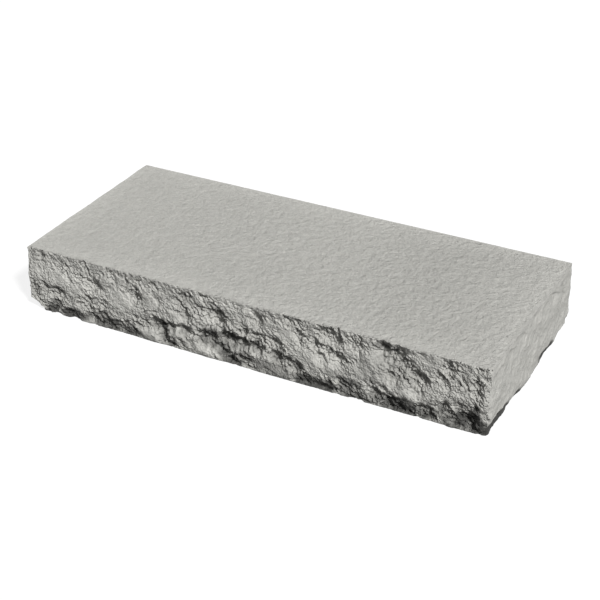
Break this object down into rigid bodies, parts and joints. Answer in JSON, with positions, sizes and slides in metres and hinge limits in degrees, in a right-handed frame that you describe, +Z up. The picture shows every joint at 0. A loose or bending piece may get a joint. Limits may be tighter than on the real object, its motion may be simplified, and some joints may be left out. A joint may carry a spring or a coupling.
{
  "type": "concrete step",
  "caption": "Solid precast concrete step slab with a flat stippled tread, a rough rock-faced front and ends, a plain back and a flat bed.",
  "frame": {"origin": "middle of the bed, the flat underside that the step lies on", "axes": "+X along the tread to the right as seen from the rock-faced front, +Y from the front to the plain back, +Z up"},
  "size_m": [0.9144, 0.4064, 0.127],
  "materials": {
    "concrete": "matte"
  },
  "bodies": {
    "root": {"concrete_step": "concrete"}
  },
  "joints": []
}
